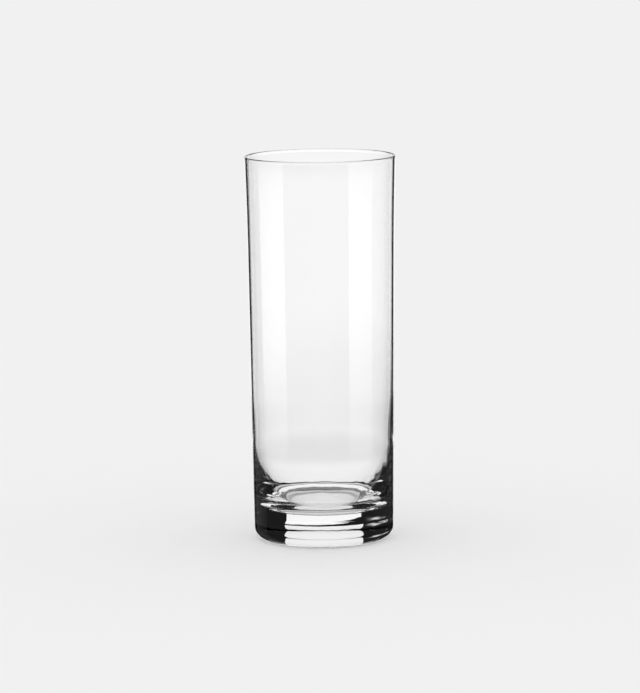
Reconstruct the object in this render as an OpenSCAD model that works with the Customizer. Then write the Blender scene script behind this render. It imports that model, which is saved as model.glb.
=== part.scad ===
// Highball glass: one turned piece of clear glass, a thin tapered wall that rises from a thick base.
// The origin is on the table at the axis of the glass, +Z is up, and sizes are in mm.

/* [Outside] */
// Height from the table to the top of the rim
glass_height = 160; // [130:1:190]
// Outer diameter at the rim
rim_diameter = 62.5; // [58:0.5:70]
// Outer diameter just above the rounded heel
foot_diameter = 58.2; // [54:0.2:62]
// Radius of the rounded heel between the wall and the ring that the glass stands on
heel_radius = 5.25; // [2:0.25:7]
// How far the lip stands out beyond the straight taper of the wall
lip_flare = 0.4; // [0.1:0.1:1.5]
// Height of the flaring band below the rim
lip_height = 40; // [20:1:60]

/* [Wall] */
// Thickness of the upper wall, whose edge at the rim is a half circle
rim_wall = 0.9; // [0.8:0.1:2]
// Depth below the rim at which the wall starts to thicken downwards
thin_depth = 65; // [60:1:90]
// Wall thickness where the cavity starts to round in towards its floor
low_wall = 1.8; // [1:0.1:4]

/* [Cavity] */
// Height of the lowest point of the floor above the table
floor_height = 12; // [8:0.5:24]
// How far the dished floor rises from its middle to its edge
floor_dish = 0.8; // [0.2:0.1:2]
// Width of the oval corner between the floor and the wall
corner_width = 11.5; // [4:0.5:18]
// Height of the oval corner between the floor and the wall
corner_height = 28; // [8:1:50]

/* [Underside] */
// Width of the flat ring that the glass stands on
ring_width = 1.3; // [0.8:0.1:6]
// Depth of the flat-topped hollow inside the ring
hollow_depth = 2.1; // [0.5:0.1:4]
// Width of the hollow's sloping side
hollow_side = 2; // [0.5:0.1:6]

/* [Hidden] */
$fn = 96;
glass_tint = [0.86, 0.93, 0.94, 0.4];
lip_steps = 8;
dish_steps = 8;
cut_over = 1;
rim_r = rim_diameter / 2;
foot_r = foot_diameter / 2;
edge_r = rim_wall / 2;
// The wall proper ends where the half circle of the rim begins
wall_top = glass_height - edge_r;
lip_start = wall_top - lip_height;
thin_end = wall_top - thin_depth;
outer_slope = (rim_r - lip_flare - foot_r) / (wall_top - heel_radius);
// The cavity's corner ends at this height and radius, kept to whole microns so that oval and wall meet
floor_edge = floor_height + floor_dish;
corner_top = floor_edge + corner_height;
corner_r = round((outer_r(corner_top) - low_wall) * 1000) / 1000;
// The dished floor ends at the foot of the corner
floor_r = corner_r - corner_width;
// The hollow's radius at the table
hollow_r = foot_r - heel_radius - ring_width;

// Heights along the lip's curve, from its start up to the rim
function lip_levels() = [for (i = [0 : lip_steps]) lip_start + lip_height * i / lip_steps];

// How far the lip has bent outwards at height z
function flare(z) = z > lip_start ? lip_flare * pow((z - lip_start) / lip_height, 2) : 0;

// Radius of the wall's outer face at height z
function outer_r(z) = foot_r + outer_slope * (z - heel_radius) + flare(z);

// Point of the dished floor at a share of its radius
function dish_point(share) = [floor_r * share, floor_height + floor_dish * pow(share, 2)];

// Half section of a round body: the bottom's points, an oval corner out to side_r, the side's points
module rounded_half(bottom, corner, side_r, side) {
    foot = bottom[len(bottom) - 1];
    centre = foot + [0, corner.y];
    top = side[len(side) - 1].y;
    polygon(concat(bottom, [centre, [side_r, centre.y]], side, [[0, top]]));
    intersection() {
        translate(centre) scale([corner.x, corner.y, corner.x]) circle(1);
        translate([centre.x, centre.y - 2 * corner.y]) square(2 * corner);
    }
}

// Half section of the glass filled solid, up to the start of the rim's edge
module outside_half() {
    bottom = [[0, 0], [foot_r - heel_radius, 0]];
    side = [for (z = lip_levels()) [outer_r(z), z]];
    rounded_half(bottom, [heel_radius, heel_radius], foot_r, side);
}

// Half section of the space for the drink, carried on a little above the wall
module cavity_half() {
    bottom = [for (i = [0 : dish_steps]) dish_point(i / dish_steps)];
    side = [for (z = concat(thin_end, lip_levels())) [outer_r(z) - rim_wall, z]];
    mouth = [rim_r - rim_wall, wall_top + cut_over];
    rounded_half(bottom, [corner_width, corner_height], corner_r, concat(side, [mouth]));
}

// Half section of the hollow under the base, carried on a little below the table
module hollow_half() {
    mouth = [[0, -cut_over], [hollow_r, -cut_over]];
    side = [[hollow_r, 0], [hollow_r - hollow_side, hollow_depth]];
    polygon(concat(mouth, side, [[0, hollow_depth]]));
}

// Half section of the rim's rounded edge, standing on the wall
module edge_half() {
    translate([rim_r - edge_r, wall_top]) intersection() {
        circle(edge_r);
        translate([-rim_wall, 0]) square([2 * rim_wall, rim_wall]);
    }
}

// The whole glass, turned about its axis
module tumbler() {
    color(glass_tint) rotate_extrude() {
        difference() {
            outside_half();
            cavity_half();
            hollow_half();
        }
        edge_half();
    }
}

tumbler();
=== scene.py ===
# %% [markdown]
# # A highball glass
#
# The object is a tall clear drinking glass, one piece from its thick base to its thin rim. Clear glass has
# hardly any look of its own: what the eye sees is light from elsewhere, bent by the curves. So this lesson
# has two halves. First the glass is turned with the right thickness everywhere, because the base shows its
# inside. Then a small studio is hung round it, to give the glass something to show.
#
# The measured model comes first. It gives the place and the size.

# %% Load the measured model
import math

import bmesh
import bpy
from mathutils import Matrix, Vector, noise


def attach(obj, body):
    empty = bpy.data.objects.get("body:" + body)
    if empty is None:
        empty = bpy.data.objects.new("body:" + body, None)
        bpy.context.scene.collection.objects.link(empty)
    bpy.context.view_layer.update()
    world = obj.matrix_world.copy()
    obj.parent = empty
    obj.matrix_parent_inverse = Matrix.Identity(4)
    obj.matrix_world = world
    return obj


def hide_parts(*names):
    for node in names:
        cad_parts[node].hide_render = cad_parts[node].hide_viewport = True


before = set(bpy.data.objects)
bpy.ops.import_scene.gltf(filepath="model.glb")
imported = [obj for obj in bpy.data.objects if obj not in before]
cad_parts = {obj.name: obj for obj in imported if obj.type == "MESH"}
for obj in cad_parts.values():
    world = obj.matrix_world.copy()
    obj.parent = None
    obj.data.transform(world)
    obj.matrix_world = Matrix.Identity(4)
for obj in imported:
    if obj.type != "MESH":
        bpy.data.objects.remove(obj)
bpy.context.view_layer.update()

# %% [markdown]
# ## The camera
#
# The photograph was taken from a good way off with a long lens: the rim is seen 5 degrees from above and
# the base 11. One could move the camera about until it looks right. Here its place comes from the picture
# itself, from the outline of the glass, which only one distance, height and lens draw the same way. The
# camera was held a hair askew, so it is rolled by two thirds of a degree.

# %% Place the camera
MM = 0.001
SENSOR = 36
IMAGE_HEIGHT = 693
FOCAL_PIXELS = 4060
ROLL = -0.659

scene = bpy.context.scene
scene.view_settings.view_transform = "Standard"
camera = bpy.data.objects.new("camera", bpy.data.cameras.new("camera"))
scene.collection.objects.link(camera)
scene.camera = camera
camera.data.sensor_width = SENSOR
camera.data.lens = SENSOR * FOCAL_PIXELS / IMAGE_HEIGHT

eye = Vector((0, -1670.4, 313.6)) * MM
aim = Vector((-0.835, 0, 80.34)) * MM
facing = (aim - eye).to_track_quat("-Z", "Y").to_matrix().to_4x4()
camera.matrix_world = Matrix.Translation(eye) @ facing @ Matrix.Rotation(math.radians(ROLL), 4, "Z")
print("lens %.1f mm, %.2f m from the glass" % (camera.data.lens, (aim - eye).length))

# %% [markdown]
# ## Half a section of the glass
#
# A glass blown in a turning mould is round, so half of its section says all of it. The section could be
# typed in as a long list of points. It is drawn as a turner would draw it instead: a few straight lines
# with sharp corners, which are then rounded one by one. The sizes are those of the measured model, in
# millimetres.
#
# The line runs from the axis under the base, round the heel, up the outside, over the rim, down the inside
# and along the floor back to the axis.

# %% Draw the straight lines
height, rim_r, foot_r = 160, 31.25, 29.1
heel_r, lip_flare, lip_height = 5.25, 0.4, 40
rim_wall, thin_depth, low_wall = 0.9, 65, 1.8
floor_height, floor_dish, corner_width, corner_height = 12, 0.8, 11.5, 28
ring_width, hollow_depth, hollow_side = 1.3, 2.1, 2.0

wall_top = height - rim_wall / 2
taper = (rim_r - lip_flare - foot_r) / (wall_top - heel_r)
floor_edge = floor_height + floor_dish
corner_top = floor_edge + corner_height
thin_end = wall_top - thin_depth
lip_start = wall_top - lip_height


def outside(z):
    """Radius of the straight outer wall at height z, without the lip's flare."""
    return foot_r + taper * (z - heel_r)


corner_r = outside(corner_top) - low_wall
floor_r = corner_r - corner_width
hollow_r = foot_r - heel_r - ring_width

section = bmesh.new()
stations = {
    "hollow_centre": (0, hollow_depth),
    "hollow_edge": (hollow_r - hollow_side, hollow_depth),
    "ring_inside": (hollow_r, 0),
    "heel": (outside(0), 0),
    "lip_outside": (outside(lip_start), lip_start),
    "rim_outside": (outside(height), height),
    "rim_inside": (outside(height) - rim_wall, height),
    "lip_inside": (outside(lip_start) - rim_wall, lip_start),
    "thin_end": (outside(thin_end) - rim_wall, thin_end),
    "corner_top": (corner_r, corner_top),
    "corner": (corner_r, floor_edge),
    "floor_edge": (floor_r, floor_edge),
    "floor_centre": (0, floor_edge),
}
points = {name: section.verts.new((r * MM, 0, z * MM)) for name, (r, z) in stations.items()}
chain = list(points.values())
lines = [section.edges.new(pair) for pair in zip(chain, chain[1:])]
print("section of %d lines, wall %.1f to %.1f mm" % (len(lines), rim_wall, low_wall))

# %% [markdown]
# ## Rounding the section
#
# A bevel on a single vertex rounds a corner of a line. The heel and the rim are plain arcs, the rim's two
# arcs together a half circle. The corner between floor and wall is an oval, much taller than wide, where
# the wall of soft glass ran down into the base. Bevel only draws round arcs, so the drawing is squashed
# first until the oval is a circle, bevelled, and stretched back. The arcs stop a hair short of their lines'
# ends, because a bevel that reaches the next point leaves two points in one place.

# %% Round the corners
ALMOST_ALL = 0.9999
ALMOST_HALF = 0.4999
hollow_round, ring_round = 1.3, 1.0


def round_corner(name, radius, segments):
    """Replaces one sharp corner of the section by an arc."""
    bmesh.ops.bevel(section, geom=[points.pop(name)], offset=radius * MM, offset_type="OFFSET",
                    segments=segments, profile=0.5, affect="VERTICES", material=-1)


def stretch(share):
    """Scales the section's heights about the edge of the floor."""
    bmesh.ops.scale(section, vec=(1, 1, share), space=Matrix.Translation((0, 0, -floor_edge * MM)),
                    verts=section.verts)


stretch(corner_width / corner_height)
round_corner("corner", ALMOST_ALL * corner_width, 40)
stretch(corner_height / corner_width)
round_corner("heel", heel_r, 28)
round_corner("rim_outside", ALMOST_HALF * rim_wall, 8)
round_corner("rim_inside", ALMOST_HALF * rim_wall, 8)
round_corner("hollow_edge", hollow_round, 10)
round_corner("ring_inside", ring_round, 10)
print("rounded section has %d points" % len(section.verts))

# %% [markdown]
# ## Lip, floor and wall
#
# Three forms are left that no arc gives: the lip bends slightly outwards, the floor is pressed into a
# shallow dish, and the wall grows thicker downwards in a soft curve rather than in a straight line, because
# hot glass sags. They could be drawn as more points. It is easier to cut the straight lines into short ones
# and to move the points by a formula. Low down the wall is made a little slimmer than in the measured
# model, because the dark bands along the outline of the real glass are slim there.

# %% Bend the lip, press the floor and draw out the wall
TOUCHING = 0.002 * MM
SLIM = 0.45
SLIM_FROM = 18
EVEN_FROM = 62


def ease(value, low, high):
    """A soft step: 0 below low, 1 above high."""
    share = min(max((value - low) / (high - low), 0), 1)
    return share * share * (3 - 2 * share)


for longest, cuts in ((3, 4), (1.5, 8)):
    long_lines = [e for e in section.edges if e.calc_length() > longest * MM]
    bmesh.ops.subdivide_edges(section, edges=long_lines, cuts=cuts)
bmesh.ops.remove_doubles(section, verts=section.verts, dist=TOUCHING)

for v in section.verts:
    r, z = v.co.x / MM, v.co.z / MM
    inside = r < outside(z) - 0.5
    if z > lip_start:
        v.co.x += MM * lip_flare * min((z - lip_start) / lip_height, 1) ** 2
    if abs(z - floor_edge) < 0.001 and r < floor_r:
        v.co.z -= MM * floor_dish * (1 - (r / floor_r) ** 2)
    if inside and corner_top < z < thin_end:
        swelling = (low_wall - SLIM - rim_wall) * (1 - ease(z, corner_top, EVEN_FROM))
        v.co.x = MM * (outside(z) - rim_wall - swelling)
    elif inside and floor_edge < z <= corner_top:
        v.co.x += MM * SLIM * ease(z, SLIM_FROM, corner_top + 0.01)
print("finished section has %d points" % len(section.verts))

# %% [markdown]
# ## Turning the glass
#
# Spin carries the section once round the axis and joins the end to the start. The points on the axis come
# out once for each step, so they are merged, and after that the faces are told which way is out: towards
# the air, on the outside as well as in the cavity.

# %% Spin the section round the axis
STEPS = 256
bmesh.ops.spin(section, geom=section.verts[:] + section.edges[:], cent=(0, 0, 0), axis=(0, 0, 1),
               angle=math.tau, steps=STEPS, use_merge=True, use_duplicate=False)
bmesh.ops.remove_doubles(section, verts=section.verts, dist=TOUCHING)
bmesh.ops.recalc_face_normals(section, faces=section.faces)
section.normal_update()
print("turned glass has %d faces" % len(section.faces))

# %% [markdown]
# ## What the mould leaves
#
# No blown glass is perfect. The cavity sits a fraction of a millimetre off centre, and where the wall runs
# into the base the inner skin has faint ripples, stronger on one side. A bump in the material could imitate
# them, but a form that shows belongs in the mesh. So the points of the inner skin are moved along their
# normals by smooth noise, of long waves and short ones.

# %% Ripple the inner skin
RIPPLE = 0.1
LONG_WAVES, SHORT_WAVES = 230, 520
ripple_fades, ripple_ends = 26, 42
OFF_CENTRE = 0.15
off_centre_to, centred_from = 45, 95

for v in section.verts:
    r, z = math.hypot(v.co.x, v.co.y) / MM, v.co.z / MM
    if z < floor_height - 0.01 or r > outside(z) - 0.6:
        continue
    ring = ease(z, floor_edge, floor_edge + 2) * (1 - ease(z, ripple_fades, ripple_ends))
    side = 0.3 + 0.7 * ease(v.co.x / MM / max(r, 1), 0.2, 0.9)
    wave = noise.noise(v.co * LONG_WAVES) + 0.5 * noise.noise(v.co * SHORT_WAVES)
    v.co += v.normal * (RIPPLE * ring * side * wave * MM)
    v.co.x -= OFF_CENTRE * MM * (1 - ease(z, off_centre_to, centred_from))
section.normal_update()
print("ripples of about %.2f mm, cavity %.2f mm off centre" % (RIPPLE, OFF_CENTRE))

# %% [markdown]
# ## The finished piece
#
# The mesh goes to an object that takes the place of the measured glass. Its faces are shaded smooth, and
# two numbers tell whether the turning went well: a closed skin has no open edges, and the content of the
# skin is the amount of glass.

# %% Hand over the glass
for face in section.faces:
    face.smooth = True
open_edges = sum(not e.is_manifold for e in section.edges)
glass_volume = section.calc_volume(signed=True)
mesh = bpy.data.meshes.new("glass")
section.to_mesh(mesh)
section.free()
glass = bpy.data.objects.new("glass", mesh)
scene.collection.objects.link(glass)
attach(glass, "root")
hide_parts("tumbler")
print("%d faces, %d open edges, %.1f ml of glass" % (len(mesh.polygons), open_edges, glass_volume * 1e6))

# %% [markdown]
# ## Sums with sockets
#
# Patterns are made of nodes, and much of that is arithmetic. One small class wraps a socket, so that a sum
# in Python adds the Math nodes by itself. Any other node comes from its one method: the node's type, its
# settings, and what goes into its sockets.

# %% A socket that can be added and multiplied
class Field:
    """A value from a node, which Python can do sums with."""

    def __init__(self, tree, socket=None):
        self.tree = tree
        self.socket = socket

    def node(self, kind, settings=None, sockets=None, out=0):
        """Adds a node, sets it up, fills or links its sockets, and returns one of its outputs."""
        made = self.tree.nodes.new(kind)
        for name, value in (settings or {}).items():
            setattr(made, name, value)
        for name, value in (sockets or {}).items():
            if isinstance(value, Field):
                self.tree.links.new(value.socket, made.inputs[name])
            else:
                made.inputs[name].default_value = value
        return Field(self.tree, made.outputs[out])

    def sum(self, operation, first, second):
        """Adds a Math node that works on two values."""
        return self.node("ShaderNodeMath", {"operation": operation}, {0: first, 1: second})

    def __add__(self, other):
        return self.sum("ADD", self, other)

    def __sub__(self, other):
        return self.sum("SUBTRACT", self, other)

    def __mul__(self, other):
        return self.sum("MULTIPLY", self, other)

    def __rsub__(self, other):
        return self.sum("SUBTRACT", other, self)

    __radd__ = __add__
    __rmul__ = __mul__

    def step(self, low, high):
        """A soft step: 0 below low, 1 above high."""
        return self.node("ShaderNodeMapRange", {"interpolation_type": "SMOOTHSTEP"},
                         {"Value": self, "From Min": low, "From Max": high})

    def clumps(self, scale, detail, roughness):
        """Smooth noise at this place, from 0 to 1."""
        return self.node("ShaderNodeTexNoise", {"noise_dimensions": "3D"},
                         {"Vector": self, "Scale": scale, "Detail": detail, "Roughness": roughness})


print("socket sums ready")

# %% [markdown]
# ## Clear glass
#
# Soda-lime glass bends light with an index of 1.52 and lets nearly all of it through. New it would be
# perfectly smooth, but a glass that is used has a slightly uneven surface from the mould, chill marks in
# the base, traces of wiping, and fine scuffs on the ring that it stands on. These are too weak to see as
# marks. They only keep the reflections from being dead straight. Index and transmission are the same all
# over, so they are set on the shader.

# %% Make the glass material
clear = bpy.data.materials.new("clear_glass")
clear.use_nodes = True
tree = clear.node_tree
shader = tree.nodes["Principled BSDF"]
shader.inputs["Transmission Weight"].default_value = 1
shader.inputs["IOR"].default_value = 1.52

place = Field(tree).node("ShaderNodeTexCoord", out="Object")
up = place.node("ShaderNodeSeparateXYZ", sockets={"Vector": place}, out="Z")
wipe = place.clumps(60, 3, 0.6)
mould = place.clumps(45, 1, 0.4)
chill = place.clumps(330, 0, 0.4) * (1 - up.step(0.011, 0.018))
scuffed = 1 - up.step(0.0001, 0.0006)

roughness = wipe.step(0.55, 0.8) * 0.012 + scuffed * 0.25
tint = place.node("ShaderNodeMix", {"data_type": "RGBA"},
                  {"Factor": wipe, "A": (0.985, 0.985, 0.985, 1), "B": (1, 1, 1, 1)}, out=2)
uneven = mould * 0.2 + chill * 0.8
bump = place.node("ShaderNodeBump", None, {"Strength": 0.03, "Distance": 0.001, "Height": uneven})
for name, field in (("Roughness", roughness), ("Base Color", tint), ("Normal", bump)):
    tree.links.new(field.socket, shader.inputs[name])
mesh.materials.append(clear)
print("glass material of %d nodes" % len(tree.nodes))

# %% [markdown]
# ## The air
#
# The glass stands before a plain pale background. A floor lit evenly from all sides shows its own colour
# everywhere, so the world is white to the rays that leave the floor, and the background has the colour of
# the floor. Light that reaches the floor through the glass loses some of its strength on the way. It starts
# out brighter, by the factor SHADE, so that only a faint shadow is left.
#
# Rays that leave the glass find the room dark, except where a later step hangs something bright. The Light
# Path node tells these rays apart.

# %% Set the air
PALE = 0.88
ROOM = 0.012
SHADE = 1.35


def ray_kinds(tree):
    """Whether a ray comes from the camera, leaves the floor, or left it and went through the glass."""
    path = Field(tree).node("ShaderNodeLightPath").socket.node
    seen, off_floor, floor_rays = (Field(tree, path.outputs[name])
                                   for name in ("Is Camera Ray", "Is Diffuse Ray", "Diffuse Depth"))
    return seen, off_floor, floor_rays.sum("MINIMUM", floor_rays, 1)


world = bpy.data.worlds.new("studio")
scene.world = world
world.use_nodes = True
world.cycles.sampling_method = "NONE"
tree = world.node_tree
seen, off_floor, to_floor = ray_kinds(tree)
from_glass = to_floor * SHADE + (1 - to_floor) * ROOM
air = seen * PALE + (1 - seen) * (off_floor + (1 - off_floor) * from_glass)
tree.links.new(air.socket, tree.nodes["Background"].inputs["Color"])
print("background at %.2f, room at %.3f" % (PALE, ROOM))

# %% [markdown]
# ## The floor
#
# A sheet of pale paper runs out on all sides until it is lost in the background, which has the same tone.
# Some of the cards that the glass is to show hang lower than the floor, so the floor is hidden from the
# rays that leave the glass.

# %% Lay the floor
FLOOR_HALF = 30

sheet = bmesh.new()
bmesh.ops.create_grid(sheet, x_segments=1, y_segments=1, size=FLOOR_HALF)
floor_mesh = bpy.data.meshes.new("floor")
sheet.to_mesh(floor_mesh)
sheet.free()
floor = bpy.data.objects.new("floor", floor_mesh)
scene.collection.objects.link(floor)
floor.visible_glossy = False
floor.visible_transmission = False
paper = bpy.data.materials.new("pale_paper")
paper.use_nodes = True
paper_shader = paper.node_tree.nodes["Principled BSDF"]
paper_shader.inputs["Base Color"].default_value = (PALE, PALE, PALE, 1)
paper_shader.inputs["Roughness"].default_value = 1
paper_shader.inputs["Specular IOR Level"].default_value = 0
floor_mesh.materials.append(paper)
print("floor %d m wide" % (2 * FLOOR_HALF))

# %% [markdown]
# ## A turntable for the cards
#
# Photographers light clear glass by its surroundings: they hang pale and dark cards round it and watch what
# the glass makes of them. The cards of this studio could stand still, but then the glass would look well
# from one side only. They hang on a turntable that always faces the camera instead, which one constraint
# does, so the glass is lit the same way from every side.

# %% Build the turntable
turntable = bpy.data.objects.new("turntable", None)
scene.collection.objects.link(turntable)
facing_camera = turntable.constraints.new("LOCKED_TRACK")
facing_camera.target = camera
facing_camera.track_axis = "TRACK_NEGATIVE_Y"
facing_camera.lock_axis = "LOCK_Z"


def hang(name, board, place=Matrix()):
    """Hangs a finished card on the turntable."""
    card_mesh = bpy.data.meshes.new(name)
    board.to_mesh(card_mesh)
    board.free()
    card = bpy.data.objects.new(name, card_mesh)
    scene.collection.objects.link(card)
    card.matrix_world = place
    card.parent = turntable
    return card


def upright_card(name, left, right, low, high, lean=0):
    """A card between two points of the floor plan and two heights. lean moves its foot to the right."""
    board = bmesh.new()
    bmesh.ops.create_grid(board, x_segments=1, y_segments=1, size=0.5)
    bmesh.ops.scale(board, vec=((right - left).length, high - low, 1), verts=board.verts)
    bmesh.ops.translate(board, vec=(0, (low + high) / 2, 0), verts=board.verts)
    foot = [v for v in board.verts if v.co.y < (low + high) / 2]
    bmesh.ops.translate(board, vec=(lean, 0, 0), verts=foot)
    across = (right - left).normalized()
    upright = Vector((0, 0, 1))
    turn = Matrix((across, upright, across.cross(upright))).transposed().to_4x4()
    return hang(name, board, Matrix.Translation((left + right) / 2) @ turn)


print("turntable ready")

# %% [markdown]
# ## Paint for the cards
#
# A card glows in its own tone, so that no lamp is needed and its brightness is known. Lamps would add hard
# glints of their own. The paint is an emission whose colour follows the place on the card. Some cards
# are to be seen from below only, or only in patches: there a Mix Shader lets rays pass. Each card is shown
# to rays that mirror off the outer skin, to rays that went through the glass, or to both. To light on its
# way to the floor every card is as bright as the air, so that no card shades the floor.

# %% Mix the paint
def show_to(card, mirrored, through):
    """Shows a card to mirrored rays or to rays that went through the glass, and to no others."""
    card.visible_camera = card.visible_diffuse = card.visible_shadow = False
    card.visible_glossy = mirrored
    card.visible_transmission = through


def paint_card(card, tone, cover=None):
    """Makes a card glow. tone gives its brightness from the places across and up the card.
    With cover, the card is seen from below only, and only where cover is not 0."""
    paint = bpy.data.materials.new(card.name)
    paint.use_nodes = True
    paint.cycles.emission_sampling = "NONE"
    tree = paint.node_tree
    tree.nodes.remove(tree.nodes["Principled BSDF"])
    spot = Field(tree).node("ShaderNodeTexCoord", out="Object")
    split = spot.node("ShaderNodeSeparateXYZ", sockets={"Vector": spot}).socket.node
    across, up = (Field(tree, split.outputs[axis]) for axis in "XY")
    to_floor = ray_kinds(tree)[2]
    glow = to_floor * SHADE + (1 - to_floor) * tone(across, up)
    film = spot.node("ShaderNodeEmission", None, {"Color": glow})
    if cover:
        patch = spot.node("ShaderNodeNewGeometry", out="Backfacing") * cover(across, up)
        clear_film = spot.node("ShaderNodeBsdfTransparent")
        film = spot.node("ShaderNodeMixShader", None, {0: patch, 1: clear_film, 2: film})
    tree.links.new(film.socket, tree.nodes["Material Output"].inputs["Surface"])
    card.data.materials.append(paint)


print("paint ready")

# %% [markdown]
# ## The back card and the dark boards
#
# A pale card far behind the glass shines through its wall. If it were as wide as the view, the glass would
# all but vanish. So two pairs of dark boards narrow it: the steep edges of the glass look past the gap
# between them and draw themselves in black. The near pair sets the thin outline of the wall, and the far
# pair the black blocks of the base, where the light crosses over. The boards lean a little, so that the
# dark edges run as on the real glass.
#
# The back card is not even. Its tone changes with height, and each change is a soft step between two
# angles, seen from the foot of the glass.

# %% Hang the back card and the boards
FAR = 12.0
BACK_HALF = 9.0
BOARD = 2.0
BACK_TONE = 1.04
TONE_STEPS = ((-0.12, -25, -18), (0.115, -13.5, -8.8), (0.075, -8.3, -6.7),
              (-0.11, -4.95, -4.45), (-0.05, -4, 0), (-0.06, 10, 22))


def rise(angle):
    """Height on the back card that is this many degrees above the level of the table."""
    return FAR * math.tan(math.radians(angle))


def back_tone(across, up):
    """Palest behind the wall of the glass, greyer behind its foot and towards the ceiling."""
    tone = BACK_TONE
    for change, low, high in TONE_STEPS:
        tone = tone + change * up.step(rise(low), rise(high))
    return tone


def room_tone(across, up):
    """As dark as the rest of the room."""
    return ROOM


back_card = upright_card("back_card", Vector((-BACK_HALF, FAR, 0)), Vector((BACK_HALF, FAR, 0)),
                         rise(-52), rise(31))
stage_cards = [(back_card, back_tone)]
for name, gate, edges, low, high, leans in (("far", 0.35, (-0.200, 0.200), -0.3, 0.6, (0.09, -0.09)),
                                            ("near", 0.10, (-0.043, 0.050), -0.5, 0.2, (-0.051, 0.009))):
    left, right = (Vector((x, gate, 0)) for x in edges)
    outwards = Vector((BOARD, 0, 0))
    left_board = upright_card(name + "_left_board", left - outwards, left, low, high, leans[0])
    right_board = upright_card(name + "_right_board", right, right + outwards, low, high, leans[1])
    stage_cards += [(left_board, room_tone), (right_board, room_tone)]
    print("%s gap of %.0f mm" % (name, 1000 * (right - left).length))
for card, tone in stage_cards:
    show_to(card, mirrored="near" not in card.name, through=True)
    paint_card(card, tone)

# %% [markdown]
# ## Soft boxes at the sides
#
# Two soft boxes, a little in front of the glass, put a long pale stripe on each side of the wall. A dimmer
# card beside each of them, a wing, lifts the grey between stripe and outline. They could be area lamps, but
# a card can fade towards its ends, as the stripes do. The stripes come off the outer skin alone, so these
# cards are shown to mirrored rays only.

# %% Hang the soft boxes and their wings
SIDE = 0.28


def bearing(angle):
    """A point on the ring of side cards, at an angle from straight behind the glass towards the right."""
    return Vector((math.sin(math.radians(angle)), math.cos(math.radians(angle)), 0)) * SIDE


def box_tone(across, up):
    """Brightest at half the height of the glass, fading to both ends."""
    return (0.8 * up.step(-0.018, -0.002) + 1.3 * up.step(0.004, 0.052)) * (1 - up.step(0.100, 0.150))


def left_wing_tone(across, up):
    """Dark towards the table, and a little dimmer on its left."""
    return (0.12 + 0.9 * up.step(-0.02, 0.025)) * (0.7 + 0.3 * across.step(-0.09, -0.02))


def right_wing_tone(across, up):
    """Dark towards the table, and a little dimmer on its right."""
    return (0.05 + 1.3 * up.step(-0.005, 0.06)) * (0.8 + 0.2 * (1 - across.step(0.02, 0.13)))


for name, start, end, tone in (("left_box", -123.6, -75.7, box_tone),
                               ("left_wing", -75.7, -38.5, left_wing_tone),
                               ("right_wing", 38.5, 97.1, right_wing_tone),
                               ("right_box", 97.1, 138.5, box_tone)):
    card = upright_card(name, bearing(start), bearing(end), -0.4, 0.3)
    show_to(card, mirrored=True, through=False)
    paint_card(card, tone)
    print("%s %.0f mm wide" % (name, 1000 * card.dimensions.x))

# %% [markdown]
# ## Slats behind the foot
#
# The bright field in the base has a dark line across it, which grows into a wedge to the right. It is
# probably the edge of something low behind the foot, turned over and stretched by the heel. An upright card
# there would also darken the floor of the glass, whose rays come down steeply from above. A slat that
# slopes away and is seen from below only does not: the steep rays meet its upper face and pass. Three small
# slats share the work, because the rays of the line, of the wedge and of the gap between them leave the
# heel at different angles. All their places are in millimetres.

# %% Set the slats
def everywhere(across, up):
    """A slat without holes."""
    return 1


def slat(name, span, near, far, tone=room_tone, cover=everywhere):
    """A slat behind the foot, seen from below only. near and far give the place of its long edges."""
    board = bmesh.new()
    bmesh.ops.create_grid(board, x_segments=16, y_segments=1, size=0.5)
    for v in board.verts:
        x = (span[0] + span[1]) / 2 + v.co.x * (span[1] - span[0])
        v.co = Vector(near(x) if v.co.y < 0 else far(x)) * MM
    card = hang(name, board)
    show_to(card, mirrored=False, through=True)
    paint_card(card, tone, cover)
    print("%s %.0f mm wide" % (name, 1000 * card.dimensions.x))


def line_end(x):
    """Height of the line slat's far edge, which hangs lower to one side."""
    return 3.3 - 3.6 * ease(-x, 0, 14)


def gap_edge(x):
    """Height of the gap slat's near edge, which climbs to one side."""
    return 2.2 + 1.1 * ease(-x, 1, 3.5)


def wedge_edge(x):
    """Height of the wedge slat's near edge, which climbs to one side as well."""
    return -0.2 + 1.15 * ease(-x, 0, 9.5)


slat("line_slat", (-40, 30), lambda x: (x, 48, 4.4), lambda x: (x, 78, line_end(x)))
slat("gap_slat", (-18, -1), lambda x: (x, 48, gap_edge(x)), lambda x: (x, 84, gap_edge(x) - 5.9))
slat("wedge_slat", (-18, 1), lambda x: (x, 60, wedge_edge(x)), lambda x: (x, 70, wedge_edge(x) - 4))

# %% [markdown]
# ## Foil beside the slats
#
# To the right of the wedge the dark block of the base holds a small bright swirl. It is made like the
# slats, with two pieces of foil that glow in their own tone like every card: one shows a single fold, the
# other broken streaks, both painted glints where creased foil would catch the light. The rest of the foil
# is clear, so that it doesn't hide what is behind it. Both fade out towards the bright field, where a hard
# end would show.

# %% Hang the foil
STREAKS_ACROSS = 160
STREAKS_AWAY = 250
END_SLANT = 0.55
END_PLACE = 0.0233
FOLD_SLANT = 0.376
FOLD_PLACE = 0.0454


def foil_tone(across, away):
    """Glows bright all over; the cover decides where this painted glint shows."""
    return 0.8


def glint_streaks(across, away):
    """Painted glints: uneven glowing streaks, as creased foil would catch the light, from 0 to 1."""
    spot = across.node("ShaderNodeCombineXYZ",
                       sockets={"X": across * STREAKS_ACROSS, "Y": away * STREAKS_AWAY})
    return spot.clumps(1, 1, 0.5).step(0.4, 0.6)


def fade_in(across, away):
    """Nothing at the foil's slanting end, all of it a little farther on."""
    return 1 - (across + END_SLANT * away - END_PLACE).step(-0.006, -0.001)


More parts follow.
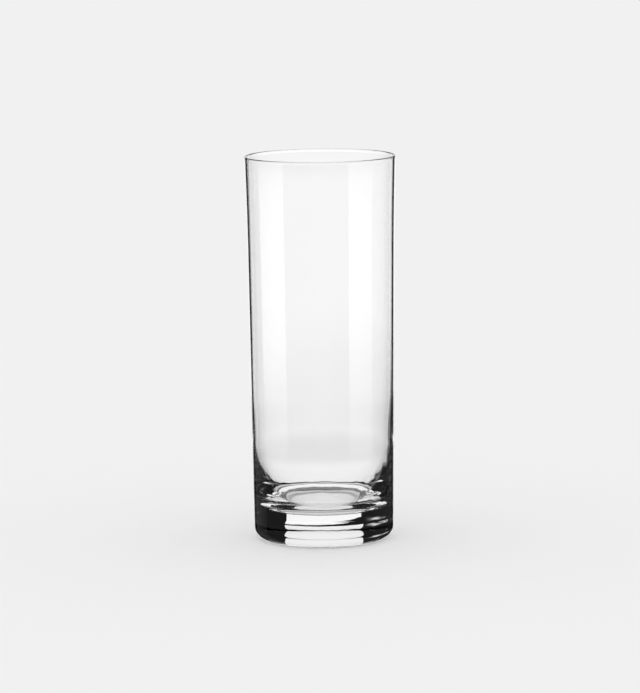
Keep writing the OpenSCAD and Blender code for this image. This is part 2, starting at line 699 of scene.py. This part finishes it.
def painted_fold_glint(across, away):
    """A painted glint: one bright fold across the foil."""
    off_fold = away + FOLD_SLANT * across - FOLD_PLACE
    fold = off_fold.step(-0.003, 0) - off_fold.step(0.001, 0.004)
    return fold * (0.4 + 0.6 * glint_streaks(across, away)) * fade_in(across, away)


def painted_streak_glints(across, away):
    """Painted glints: broken streaks."""
    return glint_streaks(across, away) * fade_in(across, away)


# Two pieces of foil that glow. Their fold and streaks are painted glints, not light caught from a lamp.
slat("glowing_fold_foil", (-24, -1), lambda x: (x, 42, 4.2), lambda x: (x - 9.6, 60, -3.4),
     foil_tone, painted_fold_glint)
slat("glowing_streak_foil", (-20, -1), lambda x: (x, 42, 8), lambda x: (2.2 * x - 17, 76, 1.5),
     foil_tone, painted_streak_glints)

# %% [markdown]
# ## The table, as the glass sees it
#
# Looking down through the base one sees the table under the hollow, and past the heel the table farther
# out. The floor is hidden from the glass, so two round cards stand in for it. A small one fills the hollow,
# with the dim ring where the foot shades the table. A large one lies far below, where only steep rays reach
# it.

# %% Lay the ground cards
def ground_tone(across, up):
    """Pale all over."""
    return 0.8


def under_tone(across, up):
    """Pale in the middle, a little dimmer outwards, with a dim ring near its edge."""
    spot = across.node("ShaderNodeCombineXYZ", sockets={"X": across, "Y": up})
    out = across.node("ShaderNodeVectorMath", {"operation": "LENGTH"}, {0: spot}, out="Value")
    ring = out.step(0.016, 0.0172) - out.step(0.019, 0.0202)
    return 0.8 - 0.1 * out.step(0.006, 0.013) - 0.3 * ring


for name, radius, level, tone in (("ground_card", 3.9, -6, ground_tone),
                                  ("under_card", 0.0224, 0.00005, under_tone)):
    board = bmesh.new()
    bmesh.ops.create_circle(board, cap_ends=True, segments=64, radius=radius)
    bmesh.ops.translate(board, vec=(0, 0, level), verts=board.verts)
    card = hang(name, board)
    show_to(card, mirrored=False, through=True)
    paint_card(card, tone)
    print("%s %.3f m wide" % (name, 2 * radius))

# %% [markdown]
# ## Room for the light to bounce
#
# In a thick base light is thrown to and fro many times before it gets out. Where the count of bounces runs
# out the glass turns black, so the limits are raised.

# %% Raise the bounce limits
scene.cycles.max_bounces = 32
scene.cycles.glossy_bounces = 24
scene.cycles.transmission_bounces = 32
print("up to %d bounces" % scene.cycles.max_bounces)
